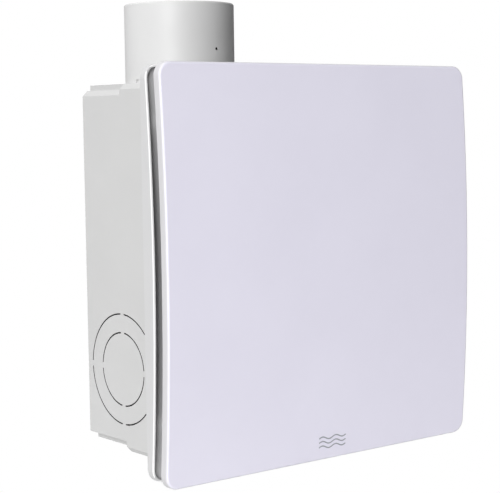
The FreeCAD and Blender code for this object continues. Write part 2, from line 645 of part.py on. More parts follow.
def screw(name, x, z, radius, back):
    """A pan head screw seated on the trim's floor, with a cross recess."""
    floor = "casing_depth + trim_floor"
    shank = bore(name + "_shank", radius, (x, z), back, floor)
    pan = bore(name + "_pan", "screw_head", (x, z), floor, f"{floor} + 2")
    recess = [slab(name + "_recess", (f"{x} - {a}", f"{x} + {a}"), (f"{z} - {b}", f"{z} + {b}"),
                   f"{floor} + 0.8", f"{floor} + 3") for a, b in (("0.5", "2"), ("2", "0.5"))]
    return cut(name, fuse(name + "_solid", shank, pan), *recess)


# ---------------------------------------------------------------- exchanger core


def build_core():
    """Square plates stacked along Y with side strips that close every second gap in turn, turned 45 degrees."""
    half = "core_side / 2"
    front_plate, rear_plate = "core_front - 5", "core_back + 3"
    layers = round((value("core_front") - value("core_back") - 8) / value("core_pitch"))
    stack = []
    for layer in range(layers):
        back = f"{rear_plate} + core_pitch * {layer}"
        stack.append(slab("core_sheet", (f"-{half} + 1", f"{half} - 1"), (f"-{half} + 1", f"{half} - 1"),
                          f"{back} + core_pitch - 0.8", f"{back} + core_pitch"))
        for low, high in ((f"-{half} + 1", f"-{half} + 5"), (f"{half} - 5", f"{half} - 1")):
            long = (f"-{half} + 1", f"{half} - 1")
            across, up = (long, (low, high)) if layer % 2 else ((low, high), long)
            stack.append(slab("core_strip", across, up, back, f"{back} + core_pitch - 0.8"))
    keep("exchanger_plates", diagonal("core_plates", fuse("core_stack", *stack)))

    square = (f"-{half}", half)
    plates = [slab("core_front_plate", square, square, front_plate, "core_front"),
              slab("core_rear_plate", square, square, "core_back", rear_plate)]
    recess = slab("core_recess", ("-30", "30"), ("-13", "13"), "core_front - 2.6", "core_front + 1")
    frame = cut("core_ends", diagonal("core_end_plates", group("core_end_pair", *plates)), recess)
    keep("core_end_plates", frame)

    rails = []
    for across in (f"-{half}", f"{half} - 1"):
        for up in (f"-{half}", f"{half} - 1"):
            rails.append(slab("core_rail", (across, f"{across} + 1"), (up, f"{up} + 1"),
                              rear_plate, front_plate))
    keep("core_corner_rails", diagonal("core_rails", group("core_rail_set", *rails)))

    band = slab("strap_band", ("-28", "28"), ("-8", "8"), "core_front - 1.6", "core_front - 0.2")
    feet = [slab("strap_foot", ends, ("-8", "8"), "core_front - 2.6", "core_front - 1.6")
            for ends in (("-28", "-20"), ("20", "28"))]
    keep("core_pull_strap", fuse("strap", band, *feet))


# ---------------------------------------------------------------- filters


def build_filters():
    """Cassette frame with cross ribs and a pull tab, and a pleated sheet inside it; both are mirrored."""
    near, far = "core_side / 2 + filter_gap", "core_side / 2 + filter_gap + filter_thickness"
    across, half = (f"-({far})", f"-({near})"), "filter_length / 2"
    back, front = "foam_back + foam_wall + 4", "core_front"
    solid = slab("cassette_solid", across, (f"-{half}", half), back, front)
    hollow = slab("cassette_hollow", (f"-({far}) - 1", f"-({near}) + 1"), (f"-{half} + 2.5", f"{half} - 2.5"),
                  f"{back} + 2.5", f"{front} - 4")
    ribs = [slab("cassette_rib", (f"-({near}) - 1.5", f"-({near})"), (f"{z} - 0.8", f"{z} + 0.8"), back, front)
            for z in ("-14", "14")]
    tab = slab("cassette_tab", (f"-({near}) - 6", f"-({near}) - 4.5"), ("-11", "11"), front, f"{front} + 7")
    frame = diagonal("fresh_cassette", fuse("cassette", cut("cassette_ring", solid, hollow), *ribs, tab))
    keep("fresh_filter_frame", frame)
    keep("extract_filter_frame", mirrored("extract_cassette", frame))

    body = doc.addObject("PartDesign::Body", "pleats")
    sketch = new_sketch(body, "XZ_Plane", f"{back} + 2.8")
    draw_polygon(sketch, pleat_outline(f"-({far}) + 0.4", f"-({near}) - 2.4"))
    add_feature(body, "Pad", sketch, f"{front} - 4.3 - ({back} + 2.8)")
    pleats = diagonal("fresh_pleats", body)
    keep("fresh_filter_media", pleats)
    keep("extract_filter_media", mirrored("extract_pleats", pleats))


def pleat_outline(deep, shallow):
    """A zigzag sheet: out along its near side and back along its far side."""
    folds, sheet = 19, "1.8"
    low, high = [], []
    for fold in range(folds):
        across = deep if fold % 2 else f"{shallow} - {sheet}"
        along = f"-filter_length / 2 + 3 + (filter_length - 6) * {fold} / {folds - 1}"
        low.append((across, along))
        high.append((f"{across} + {sheet}", along))
    return low + high[::-1]


# ---------------------------------------------------------------- controls


def build_controls():
    half_across, half_up = "housing_width / 2", "housing_height / 2"
    across, up = (f"cable_x - {half_across}", f"cable_x + {half_across}"), (f"-{half_up}", half_up)
    inside = (f"cable_x - {half_across} + 2", f"cable_x + {half_across} - 2")
    inside_up = (f"-{half_up} + 2", f"{half_up} - 2")
    shell = slab("housing_solid", across, up, "housing_back", "housing_front")
    room = slab("housing_room", inside, inside_up, "housing_back + 2", "housing_front + 1")
    hole = bore("housing_cable_hole", "cable_radius + 2.5", ("cable_x", "0"), "0", "housing_back + 3")
    ledges = [slab("housing_ledge", inside, ends, "board_depth - 5", "board_depth - 1.6")
              for ends in ((f"-{half_up} + 1", f"-{half_up} + 4"), (f"{half_up} - 4", f"{half_up} - 1"))]
    clamp_across, clamp_back, clamp_front = ("cable_x - 11", "cable_x + 11"), "26", "34"
    saddle = slab("housing_saddle", clamp_across, (f"-{half_up} + 1", "-cable_radius - 0.5"),
                  clamp_back, clamp_front)
    shell_open = cut("housing_open", shell, room, hole)
    keep("control_housing", fuse("housing", shell_open, *ledges, saddle))

    bar = slab("clamp_bar", clamp_across, ("cable_radius + 0.5", "cable_radius + 4"), clamp_back, clamp_front)
    clamp_middle = f"-({clamp_back} + {clamp_front}) / 2"
    screws = [rod("clamp_screw", "1.5", "Z", "-cable_radius - 0.5", "cable_radius + 6", (x, clamp_middle))
              for x in ("cable_x - 8.2", "cable_x + 8.2")]
    keep("cable_clamp", fuse("clamp", bar, *screws))

    terminals = slab("terminal_solid", ("cable_x - 12", "cable_x + 12"),
                     (f"-{half_up} + 2", f"-{half_up} + 14"), "48", "66")
    notches = []
    for step in range(3):
        x = f"cable_x + 8 * ({step} - 1)"
        notches.append(bore("terminal_screw_hole", "1.8", (x, f"-{half_up} + 9.5"), "60", "70"))
        notches.append(slab("terminal_entry", (f"{x} - 2", f"{x} + 2"), (f"-{half_up} + 3", f"-{half_up} + 6"),
                            "40", "60"))
    keep("terminal_block", cut("terminals", terminals, *notches))

    board = slab("board", (f"cable_x - {half_across} + 2.3", f"cable_x + {half_across} - 2.3"),
                 (f"-{half_up} + 2.3", f"{half_up} - 2.3"), "board_depth - 1.6", "board_depth")
    fitted = [
        slab("board_relay", ("cable_x - 11", "cable_x + 1"), ("2", "18"), "board_depth - 12",
             "board_depth - 1.6"),
        bore("board_capacitor", "4.2", ("cable_x + 8", "10"), "board_depth - 15", "board_depth - 1.6"),
        slab("board_transformer", ("cable_x - 9", "cable_x + 9"), ("-12", "-2"), "board_depth - 14",
             "board_depth - 1.6"),
        bore("board_light", "1.6", ("cable_x", "0"), "board_depth", "board_depth + 2"),
    ]
    fitted += [slab("board_switch", ("cable_x - 3", "cable_x + 3"), (f"{z} - 3", f"{z} + 3"), "board_depth",
                    "board_depth + 3") for z in ("button_height", "-button_height")]
    keep("control_board", fuse("board_fitted", board, *fitted))

    plate = slab("cover_plate", across, up, "housing_front", "cover_front")
    openings = [bore("cover_button_hole", "button_radius + 0.2", ("cable_x", z), "90", "100")
                for z in ("button_height", "-button_height")]
    openings.append(bore("cover_light_hole", "1.5", ("cable_x", "0"), "90", "100"))
    keep("control_cover", cut("cover", plate, *openings))
    keep("status_light_guide", bore("light_guide", "1.5", ("cable_x", "0"), "board_depth + 2.2",
                                    "cover_front + 0.3"))
    for name, z in (("speed_button", "button_height"), ("filter_reset_button", "-button_height")):
        cap = bore(name + "_cap", "button_radius", ("cable_x", z), "housing_front - 1.4", "cover_front + 2.5")
        skirt = bore(name + "_skirt", "button_radius + 1", ("cable_x", z), "housing_front - 1.6",
                     "housing_front - 0.2")
        stem = bore(name + "_stem", "1.4", ("cable_x", z), "board_depth + 4.4", "housing_front")
        keep(name, fuse(name, cap, skirt, stem))

    sensor = slab("sensor", ("5", "11"), ("-108", "-92"), "60", "84")
    vents = [slab("sensor_vent", ("9.8", "12"), (f"-105 + {4 * i}", f"-103 + {4 * i}"), "63", "81")
             for i in range(3)]
    keep("humidity_sensor", cut("sensor_vented", sensor, *vents))


# ---------------------------------------------------------------- trim frame and front panel


def bowed_block(name, size, front, corner="0", rounding="0"):
    """A square prism from the wall surface towards the room, its front bowed like the panel about a level axis.

    front is the depth of its front at the top and bottom edges.
    """
    body = doc.addObject("PartDesign::Body", name)
    sketch = new_sketch(body, "YZ_Plane")
    half, near, far = value("panel_size") / 2, -value("casing_depth"), -value("panel_front")
    bend = value("panel_size") ** 2 / (8 * value("panel_rise")) + value("panel_rise") / 2
    low_back, low_front = Vector(near, -half, 0), Vector(far, -half, 0)
    top_back, top_front = Vector(near, half, 0), Vector(far, half, 0)
    crown = Vector(far - value("panel_rise"), 0, 0)
    for start, end in ((low_front, low_back), (low_back, top_back), (top_back, top_front)):
        sketch.addGeometry(Part.LineSegment(start, end))
    arc = sketch.addGeometry(Part.Arc(top_front, crown, low_front))
    first_end = sketch.Geometry[arc].StartPoint
    top_vertex, low_vertex = (1, 2) if first_end.y > 0 else (2, 1)
    for pair in ((0, 2, 1, 1), (1, 2, 2, 1), (2, 2, arc, top_vertex), (arc, low_vertex, 0, 1)):
        sketch.addConstraint(Sketcher.Constraint("Coincident", *pair))
    pin_point(sketch, 0, 2, "-casing_depth", f"-({size}) / 2")
    pin_point(sketch, 2, 1, "-casing_depth", f"({size}) / 2")
    pin_point(sketch, 2, 2, f"-({front})", f"({size}) / 2")
    pin_point(sketch, 0, 1, f"-({front})", f"-({size}) / 2")
    index = sketch.addConstraint(Sketcher.Constraint("Radius", arc, bend))
    bind(sketch, f"Constraints[{index}]", "panel_size * panel_size / (8 * panel_rise) + panel_rise / 2")
    pad = add_feature(body, "Pad", sketch, size)
    pad.Midplane = True
    if corner != "0":
        fillet(body, corner, is_along_y)
    if rounding != "0":
        fillet(body, rounding, is_at_the_front)
    return body


def is_along_y(edge):
    box = edge.BoundBox
    return box.YLength > 5 and box.XLength < 0.01 and box.ZLength < 0.01


def is_at_the_front(edge):
    return edge.BoundBox.YMax < -value("casing_depth") - 3


def build_trim():
    wall, floor = "trim_wall", "casing_depth + trim_floor"
    outside = bowed_block("trim_outside", "trim_size", "casing_depth + trim_lip", "panel_corner", "trim_round")
    room = bowed_block("trim_room", f"trim_size - 2 * {wall}", "casing_depth + 30", f"panel_corner - {wall}")
    recess = place(group("trim_recess", room), y="-trim_floor")
    sockets, holes = [], []
    for x in ("-stud_x", "stud_x"):
        for z in ("-stud_z", "stud_z"):
            sockets.append(bore("trim_socket", "stud_radius + 2.2", (x, z), floor, f"{floor} + 7"))
            holes.append(bore("trim_socket_bore", "stud_radius + 0.15", (x, z),
                              f"{floor} - 0.5", f"{floor} + 8"))
    for x in ("-post_x", "post_x"):
        for z in ("-post_z", "post_z"):
            holes.append(bore("trim_screw_hole", "screw_radius + 0.2", (x, z), "90", "110"))
    centre = "supply_fan_centre"
    for x in (f"{centre} - fan_screw", f"{centre} + fan_screw"):
        for z in (f"{centre} - fan_screw", f"{centre} + fan_screw"):
            holes.append(bore("trim_fan_screw_hole", "fan_screw_hole", (x, z), "90", "110"))
    holes.append(bore("trim_supply_opening", "fan_bore + 0.6", (centre, centre), "90", "110"))
    reach = "core_side / 2 + fit_gap"
    holes.append(diagonal("trim_core_opening", slab("trim_core_square", (f"-({reach})", reach),
                                                    (f"-({reach})", reach), "90", "110")))
    holes += filter_slots("trim", "90", "110")
    holes.append(slab("trim_control_opening",
                      ("cable_x - housing_width / 2 - 0.3", "cable_x + housing_width / 2 + 0.3"),
                      ("-housing_height / 2 - 0.3", "housing_height / 2 + 0.3"), "90", "110"))
    for step in range(5):
        low = f"-112 + 11 * {step}"
        holes.append(slab("trim_extract_slot", ("46", "116"), (low, f"{low} + 6"), "90", "110"))
    groove = cut("trim_groove", *[slab("trim_groove_side", (f"-{s}", s), (f"-{s}", s), "casing_depth - 1",
                                       "casing_depth + 1.5") for s in ("140", "134.5")])
    keep("trim_frame", cut("trim", fuse("trim_solid", cut("trim_tray", outside, recess), *sockets),
                           *holes, groove))
    gasket = [slab("wall_gasket_side", (f"-{s}", s), (f"-{s}", s), "casing_depth", "casing_depth + 1.5")
              for s in ("139.8", "134.7")]
    keep("wall_gasket", cut("wall_seal", *gasket))
    screws = [screw("trim_screw", x, z, "screw_radius", "casing_depth - 20")
              for x in ("-post_x", "post_x") for z in ("-post_z", "post_z")]
    keep("trim_screws", group("trim_screw_set", *screws))


def build_supply_guard():
    """Rings and spokes that snap into the trim's round opening."""
    centre = ("supply_fan_centre", "supply_fan_centre")
    back, front = "casing_depth + 0.2", "casing_depth + trim_floor + 0.8"
    rings = []
    for radius in ("fan_bore", "30", "22", "14"):
        outer = bore("guard_ring_outer", f"{radius} + 0.4", centre, back, front)
        inner = bore("guard_ring_inner", f"{radius} - 1.4", centre, "0", "200")
        rings.append(cut("guard_ring", outer, inner))
    rings.append(bore("guard_boss", "6", centre, back, front))
    for turn in range(6):
        spoke = slab("guard_spoke", ("5", "fan_bore - 0.5"), ("-0.9", "0.9"), back, f"{front} - 0.8")
        turned = place(group("guard_spoke_turned", spoke), axis=Vector(0, 1, 0), angle=60 * turn + 15)
        rings.append(place(group("guard_spoke_at", turned), centre[0], "0", centre[1]))
    keep("supply_guard", fuse("guard", *rings))


def build_panel():
    shell, rim = "panel_shell", "panel_rim"
    outside = bowed_block("panel_outside", "panel_size", "panel_front", "panel_corner", "panel_round")
    behind = bowed_block("panel_behind", "panel_size + 8", f"panel_front - {rim}")
    hollow = bowed_block("panel_hollow", f"panel_size - 2 * {shell}", f"panel_front - {shell}",
                         f"panel_corner - {shell}")
    ribs = []
    for place_at in ("-62", "62"):
        ends = (f"{place_at} - 0.8", f"{place_at} + 0.8")
        long = ("-panel_size / 2", "panel_size / 2")
        ribs.append(slab("panel_rib_up", ends, long, "panel_front - 5", "150"))
        ribs.append(slab("panel_rib_level", long, ends, "panel_front - 5", "150"))
    grid = common("panel_ribs", fuse("panel_rib_grid", *ribs), hollow)
    keep("front_panel", fuse("panel", cut("panel_skin", outside, behind, hollow), grid))

    studs = [bore("panel_stud", "stud_radius", (x, z), "casing_depth + trim_floor + 1", "150")
             for x in ("-stud_x", "stud_x") for z in ("-stud_z", "stud_z")]
    keep("panel_studs", common("panel_stud_set", group("panel_stud_rods", *studs), hollow))

    back = "casing_depth + trim_floor + 0.5"
    baffles = fuse("baffle_pair", slab("baffle_level", ("-2", "138.5"), ("-2", "2"), back, "150"),
                   slab("baffle_upright", ("-2", "2"), ("-2", "138.5"), back, "150"))
    free = cut("baffle_free", baffles, fuse("baffle_rib_room", *ribs))
    keep("air_baffle", common("baffle", free, hollow))


# ---------------------------------------------------------------- build, check and write


def check_document():
    """Every object must have recomputed cleanly, and every sub-part must hold valid solids."""
    failed = [obj.Name for obj in doc.Objects if {"Invalid", "Error"} & set(obj.State)]
    if failed:
        raise RuntimeError("failed objects: " + ", ".join(failed))
    for name, part in sub_parts.items():
        if part.Shape.isNull() or not part.Shape.isValid() or not part.Shape.Solids:
            raise RuntimeError("bad shape: " + name)


def main():
    write_sheet()
    build_casing()
    build_spigot()
    build_foam_body()
    build_fans()
    build_core()
    build_filters()
    build_controls()
    build_trim()
    build_supply_guard()
    build_panel()
    doc.recompute()
    check_document()
    os.makedirs("parts", exist_ok=True)
    for name, part in sub_parts.items():
        part.Shape.exportStep(f"parts/{name}.step")
        print(f"{name}: {len(part.Shape.Solids)} solids, {part.Shape.Volume / 1000:.1f} cm3")


main()
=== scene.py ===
# Looks of the heat recovery unit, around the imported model: materials, detail pieces, light and camera.

import json
import math

import bpy
import bmesh
from mathutils import Matrix, Vector


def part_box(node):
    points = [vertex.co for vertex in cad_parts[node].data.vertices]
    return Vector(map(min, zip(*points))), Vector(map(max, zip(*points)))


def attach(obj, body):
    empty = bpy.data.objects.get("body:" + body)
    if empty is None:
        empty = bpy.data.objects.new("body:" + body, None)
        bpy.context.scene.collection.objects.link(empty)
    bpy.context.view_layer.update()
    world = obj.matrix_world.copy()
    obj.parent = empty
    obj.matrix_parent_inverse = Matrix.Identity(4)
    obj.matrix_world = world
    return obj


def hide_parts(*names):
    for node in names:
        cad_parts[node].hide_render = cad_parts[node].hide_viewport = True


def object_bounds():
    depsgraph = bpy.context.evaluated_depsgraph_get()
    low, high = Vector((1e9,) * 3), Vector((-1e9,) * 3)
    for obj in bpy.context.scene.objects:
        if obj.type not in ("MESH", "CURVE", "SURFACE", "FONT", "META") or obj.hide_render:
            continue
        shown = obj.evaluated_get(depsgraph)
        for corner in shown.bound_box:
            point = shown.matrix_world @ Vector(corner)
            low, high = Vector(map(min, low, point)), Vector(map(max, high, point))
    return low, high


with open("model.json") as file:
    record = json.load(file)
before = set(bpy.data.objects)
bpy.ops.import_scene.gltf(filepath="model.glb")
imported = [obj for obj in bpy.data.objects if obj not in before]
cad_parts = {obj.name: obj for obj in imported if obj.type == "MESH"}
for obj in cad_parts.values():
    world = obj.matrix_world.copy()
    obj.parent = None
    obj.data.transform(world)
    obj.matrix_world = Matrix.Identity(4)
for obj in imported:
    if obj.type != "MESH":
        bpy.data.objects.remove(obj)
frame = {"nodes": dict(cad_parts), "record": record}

CAD_BOX = [list(corner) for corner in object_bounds()]
NODES = frame["nodes"]
MOUNTS = {mount["name"]: mount for mount in frame["record"]["mounts"]}
ROOM = Vector((0.0, -1.0, 0.0))


def middle(node):
    """The centre of a CAD node's box."""
    low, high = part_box(node)
    return (low + high) / 2


# ---------------------------------------------------------------- node material kit


class Shader:
    """A small builder for node materials: each call adds a node and returns its output socket."""

    def __init__(self, name):
        self.material = bpy.data.materials.new(name)
        self.material.use_nodes = True
        self.tree = self.material.node_tree
        self.surface = self.tree.nodes["Principled BSDF"]
        self.place = self.tree.nodes.new("ShaderNodeTexCoord").outputs["Object"]

    def link(self, source, target):
        self.tree.links.new(source, target)

    def plain(self, **sockets):
        """Sets values that are the same all over, on the shader's own sockets."""
        for name, number in sockets.items():
            self.surface.inputs[name.replace("_", " ")].default_value = number

    def put(self, node_type, inputs, output=0, **props):
        """Adds a node with linked or set inputs and returns one of its outputs."""
        node = self.tree.nodes.new(node_type)
        for name, setting in props.items():
            setattr(node, name, setting)
        for name, source in inputs.items():
            if isinstance(source, bpy.types.NodeSocket):
                self.link(source, node.inputs[name])
            else:
                node.inputs[name].default_value = source
        return node.outputs[output]

    def stretched(self, scale):
        return self.put("ShaderNodeMapping", {"Vector": self.place, "Scale": scale})

    def noise(self, scale, detail=3.0, rough=0.55, vector=None):
        """Noise whose scale is in features per metre."""
        return self.put("ShaderNodeTexNoise", {"Vector": vector or self.place, "Scale": scale,
                                               "Detail": detail, "Roughness": rough})

    def cells(self, scale, feature="F1"):
        return self.put("ShaderNodeTexVoronoi", {"Vector": self.place, "Scale": scale}, feature=feature)

    def spread(self, source, low, high, from_low=0.3, from_high=0.7):
        """Maps a texture's value to the range low to high."""
        return self.put("ShaderNodeMapRange", {"Value": source, "From Min": from_low, "From Max": from_high,
                                               "To Min": low, "To Max": high})

    def math(self, operation, first, second=0.0):
        node = self.tree.nodes.new("ShaderNodeMath")
        node.operation = operation
        for socket, source in zip(node.inputs, (first, second)):
            if isinstance(source, bpy.types.NodeSocket):
                self.link(source, socket)
            else:
                socket.default_value = source
        return node.outputs[0]

    def axes(self):
        """The three object coordinates."""
        split = self.tree.nodes.new("ShaderNodeSeparateXYZ")
        self.link(self.place, split.inputs[0])
        return split.outputs

    def between(self, source, low, high):
        above, below = self.math("GREATER_THAN", source, low), self.math("LESS_THAN", source, high)
        return self.math("MULTIPLY", above, below)

    def distance(self, first, second, first_centre, second_centre):
        """Distance from a point in the plane of two coordinates."""
        one = self.math("SUBTRACT", first, first_centre)
        two = self.math("SUBTRACT", second, second_centre)
        squares = self.math("ADD", self.math("MULTIPLY", one, one), self.math("MULTIPLY", two, two))
        return self.math("SQRT", squares)

    def blend_colors(self, factor, first, second):
        ramp = self.tree.nodes.new("ShaderNodeMix")
        ramp.data_type = "RGBA"
        for socket, source in zip((ramp.inputs[0], ramp.inputs[6], ramp.inputs[7]), (factor, first, second)):
            if isinstance(source, bpy.types.NodeSocket):
                self.link(source, socket)
            elif isinstance(source, tuple):
                socket.default_value = (*source, 1.0)
            else:
                socket.default_value = source
        return ramp.outputs[2]

    def bump(self, height, distance, strength=1.0, under=None):
        inputs = {"Height": height, "Distance": distance, "Strength": strength}
        if under is not None:
            inputs["Normal"] = under
        return self.put("ShaderNodeBump", inputs)


def moulded_shader(name, color, shade, roughness):
    """Injection-moulded plastic: faint flow mottling, a fine spark-eroded grain and slow waves of the sheet.

    Returns the shader and the socket of its color.
    """
    mat = Shader(name)
    flow = mat.noise(14.0, detail=4.0)
    speck = mat.noise(420.0, detail=2.0)
    tint = mat.blend_colors(mat.spread(flow, 0.0, 1.0), shade, color)
    dusty = mat.blend_colors(mat.spread(speck, 0.0, 0.12, 0.45, 0.75), tint, shade)
    mat.link(dusty, mat.surface.inputs["Base Color"])
    mat.link(mat.spread(mat.noise(60.0, detail=5.0), roughness - 0.05, roughness + 0.07),
             mat.surface.inputs["Roughness"])
    grain = mat.bump(mat.noise(2600.0, detail=2.0), 0.00002)
    waves = mat.bump(mat.noise(9.0, detail=1.0), 0.00025, under=grain)
    mat.link(waves, mat.surface.inputs["Normal"])
    mat.plain(IOR=1.46)
    return mat, dusty


def moulded_plastic(name, color, shade, roughness):
    return moulded_shader(name, color, shade, roughness)[0].material


# near-black painted shade for the walls inside slits and holes
PAINTED_SHADE_BLACK = (0.006, 0.006, 0.006)


def casing_plastic():
    """Grey casing plastic, with painted shade: the walls inside the cut slits of both side knock-outs are
    painted near-black.
    """
    mat, color = moulded_shader("casing_plastic_look", (0.500, 0.500, 0.499), (0.478, 0.478, 0.477), 0.48)
    centre_x, centre_y, centre_z = MOUNTS["right_knockout"]["pos_m"]
    x, y, z = mat.axes()
    # painted shade: the slit walls within the side wall's thickness, near the knock-out, are painted near-black
    in_wall = mat.between(mat.math("ABSOLUTE", x), centre_x - 0.00248, centre_x - 0.00015)
    near = mat.math("LESS_THAN", mat.distance(y, z, centre_y, centre_z), 0.042)
    dark = mat.math("MULTIPLY", in_wall, near)
    mat.link(mat.blend_colors(dark, color, PAINTED_SHADE_BLACK), mat.surface.inputs["Base Color"])
    return mat.material


def spigot_plastic():
    """Satin grey plastic, with painted shade: near-black inside the screw's pilot hole."""
    mat, color = moulded_shader("spigot_plastic_look", (0.57, 0.57, 0.57), (0.55, 0.55, 0.55), 0.47)
    axis_x, axis_y = MOUNTS["duct_spigot"]["pos_m"][:2]
    radius = MOUNTS["duct_spigot"]["dims"]["r_mm"] / 1000
    pilot_x, pilot_z = axis_x + 0.0036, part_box("duct_spigot")[1].z - 0.0332
    x, y, z = mat.axes()
    # painted shade: the pilot hole's wall on the room side is painted near-black
    in_wall = mat.between(mat.distance(x, y, axis_x, axis_y), radius - 0.00185, radius - 0.00009)
    pilot = mat.math("LESS_THAN", mat.distance(x, z, pilot_x, pilot_z), 0.0013)
    room_side = mat.math("LESS_THAN", y, axis_y - 0.0325)
    dark = mat.math("MULTIPLY", in_wall, mat.math("MULTIPLY", pilot, room_side))
    mat.link(mat.blend_colors(dark, color, PAINTED_SHADE_BLACK), mat.surface.inputs["Base Color"])
    return mat.material


def facing_room(mat, side_on, face_on):
    """0 where a surface looks sideways, 1 where it looks to the room, by the slope of its normal."""
    normal = mat.tree.nodes.new("ShaderNodeTexCoord").outputs["Normal"]
    slope = mat.put("ShaderNodeSeparateXYZ", {"Vector": normal}, output=1)
    return mat.spread(slope, 1.0, 0.0, -face_on, -side_on)


def panel_plastic():
    """Pearl white front with a cool tinge, over light grey edges and back. The grey is partly the edges' own
    plain finish and partly painted shade, chosen by which way each surface faces.
    """
    mat, color = moulded_shader("panel_plastic_look", (0.86, 0.84, 0.96), (0.84, 0.82, 0.94), 0.40)
    # painted shade by facing: sideways surfaces get the darker grey, room-facing ones the pearl white
    front = facing_room(mat, 0.35, 0.97)
    mat.link(mat.blend_colors(front, (0.530, 0.525, 0.540), color), mat.surface.inputs["Base Color"])
    return mat.material


def trim_plastic():
    """Light grey trim, with a painted highlight: the rounded front edge of its lip is painted near-white."""
    mat, color = moulded_shader("trim_plastic_look", (0.525, 0.525, 0.530), (0.500, 0.500, 0.505), 0.42)
    x, y, z = mat.axes()
    edge = mat.math("MAXIMUM", mat.math("ABSOLUTE", x), mat.math("ABSOLUTE", z))
    on_rim = mat.math("GREATER_THAN", edge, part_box("trim_frame")[1].x - 0.0018)
    # painted highlight: room-facing surfaces at the lip's outer edge get near-white
    painted_rim_highlight = mat.math("MULTIPLY", facing_room(mat, 0.05, 0.6), on_rim)
    mat.link(mat.blend_colors(painted_rim_highlight, color, (0.83, 0.83, 0.83)), mat.surface.inputs["Base Color"])
    return mat.material


def bead_foam(name, color, shade):
    """Expanded bead foam: round beads with dark seams between them."""
    mat = Shader(name)
    beads = mat.cells(330.0)
    seams = mat.cells(330.0, feature="DISTANCE_TO_EDGE")
    seam = mat.spread(seams, 1.0, 0.0, 0.0, 0.12)
    tint = mat.blend_colors(mat.spread(mat.noise(120.0), 0.0, 1.0), shade, color)
    mat.link(mat.blend_colors(mat.math("MULTIPLY", seam, 0.6), tint, shade), mat.surface.inputs["Base Color"])
    domes = mat.math("SUBTRACT", 1.0, beads)
    mat.link(mat.bump(domes, 0.0012, 0.7), mat.surface.inputs["Normal"])
    mat.plain(Roughness=0.86, Specular_IOR_Level=0.3)
    return mat.material


def cell_foam(name, color, shade):
    """Soft closed-cell sealing foam with open pores on its cut faces."""
    mat = Shader(name)
    pores = mat.spread(mat.cells(1400.0), 0.0, 1.0, 0.15, 0.55)
    mat.link(mat.blend_colors(pores, shade, color), mat.surface.inputs["Base Color"])
    mat.link(mat.bump(pores, 0.0003, 0.6), mat.surface.inputs["Normal"])
    mat.plain(Roughness=0.95, Specular_IOR_Level=0.2)
    return mat.material


def metal(name, color, roughness, lines=(1.0, 1.0, 1.0)):
    """Worked metal with fine drawn lines along the short axis of its scale."""
    mat = Shader(name)
    drawn = mat.noise(900.0, detail=4.0, vector=mat.stretched(lines))
    tint = mat.blend_colors(mat.spread(drawn, 0.0, 1.0), tuple(0.8 * c for c in color), color)
    mat.link(tint, mat.surface.inputs["Base Color"])
    mat.link(mat.spread(drawn, roughness - 0.07, roughness + 0.1), mat.surface.inputs["Roughness"])
    mat.link(mat.bump(drawn, 0.00002), mat.surface.inputs["Normal"])
    mat.plain(Metallic=1.0)
    return mat.material


def woven(name, color, shade, pitch):
    """A plain weave: two crossed sets of ribs, pitch in threads per metre."""
    mat = Shader(name)
    warp = mat.put("ShaderNodeTexWave", {"Vector": mat.place, "Scale": pitch, "Distortion": 0.6},
                   output=1, bands_direction="X")
    weft = mat.put("ShaderNodeTexWave", {"Vector": mat.place, "Scale": pitch, "Distortion": 0.6},
                   output=1, bands_direction="Z")
    ribs = mat.math("MAXIMUM", warp, weft)
    mat.link(mat.blend_colors(ribs, shade, color), mat.surface.inputs["Base Color"])
    mat.link(mat.bump(ribs, 0.0003, 0.8), mat.surface.inputs["Normal"])
    mat.plain(Roughness=0.8, Sheen_Weight=0.25, Sheen_Roughness=0.4)
    return mat.material


def felt(name, color, shade):
    """Matted filter fibres."""
    mat = Shader(name)
    fibres = mat.noise(700.0, detail=6.0, rough=0.75, vector=mat.stretched((1.0, 0.25, 1.0)))
    mat.link(mat.blend_colors(mat.spread(fibres, 0.0, 1.0), shade, color), mat.surface.inputs["Base Color"])
    mat.link(mat.bump(fibres, 0.0004, 0.8), mat.surface.inputs["Normal"])
    mat.plain(Roughness=0.92, Sheen_Weight=0.35, Sheen_Roughness=0.5)
    return mat.material


def circuit(name):
    """Solder resist with copper tracks showing through as a slightly lighter pattern."""
    mat = Shader(name)
    tracks = mat.put("ShaderNodeTexBrick", {"Vector": mat.place, "Scale": 160.0, "Mortar Size": 0.012},
                     output=1)
    tint = mat.blend_colors(tracks, (0.012, 0.10, 0.045), (0.05, 0.24, 0.10))
    mat.link(tint, mat.surface.inputs["Base Color"])
    mat.link(mat.bump(tracks, 0.00004), mat.surface.inputs["Normal"])
    mat.plain(Roughness=0.32)
    return mat.material


def glowing(name, color):
    """A translucent light guide, faintly lit."""
    mat = Shader(name)
    cloud = mat.noise(500.0)
    mat.link(mat.blend_colors(mat.spread(cloud, 0.0, 1.0), tuple(0.7 * c for c in color), color),
             mat.surface.inputs["Base Color"])
    mat.plain(Roughness=0.25, Transmission_Weight=0.4, Emission_Color=(*color, 1.0), Emission_Strength=0.6)
    return mat.material


